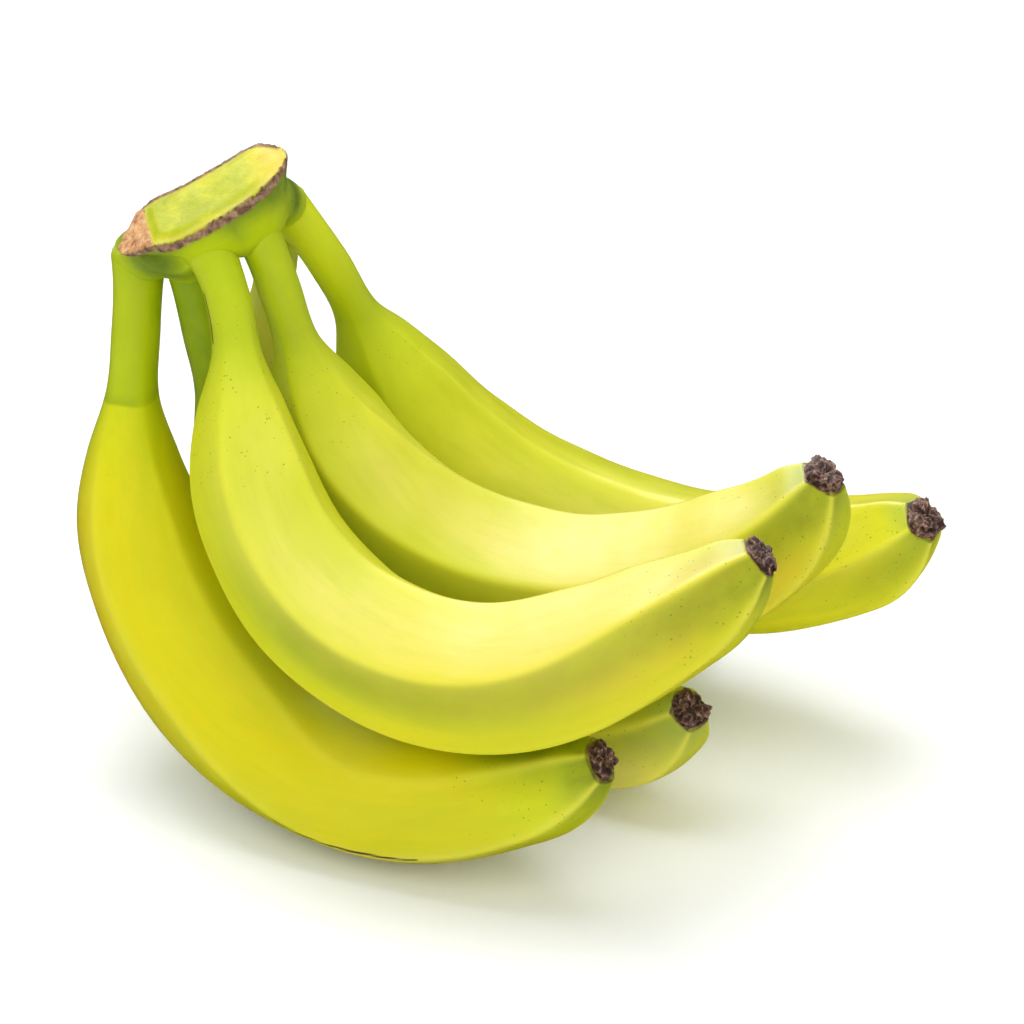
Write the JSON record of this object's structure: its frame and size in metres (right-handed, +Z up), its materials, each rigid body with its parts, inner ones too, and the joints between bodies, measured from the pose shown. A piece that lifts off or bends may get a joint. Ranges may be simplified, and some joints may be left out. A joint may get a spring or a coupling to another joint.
{
  "type": "bunch of bananas",
  "caption": "Hand of curved ripening bananas joined at one cut crown, lying on their backs with dried blossom ends.",
  "frame": {"origin": "middle of the bunch's box, on the surface that it lies on", "axes": "+Z up; +X from the crown's side towards the tips; -Y towards the side seen in front"},
  "size_m": [0.2124, 0.1608, 0.1646],
  "materials": {
    "banana_skin": "waxy yellow-green peel, green at the stalk and the tip",
    "crown_skin": "green rind with a cut yellow-green face and a brown corky rim",
    "dried_blossom": "dark brown, dry and crumpled"
  },
  "bodies": {
    "root": {"crown": "crown_skin", "banana_1": "banana_skin", "banana_2": "banana_skin", "banana_3": "banana_skin", "banana_4": "banana_skin", "banana_5": "banana_skin", "banana_6": "banana_skin", "blossom_end_1": "dried_blossom", "blossom_end_2": "dried_blossom", "blossom_end_3": "dried_blossom", "blossom_end_4": "dried_blossom", "blossom_end_5": "dried_blossom", "blossom_end_6": "dried_blossom"}
  },
  "joints": []
}
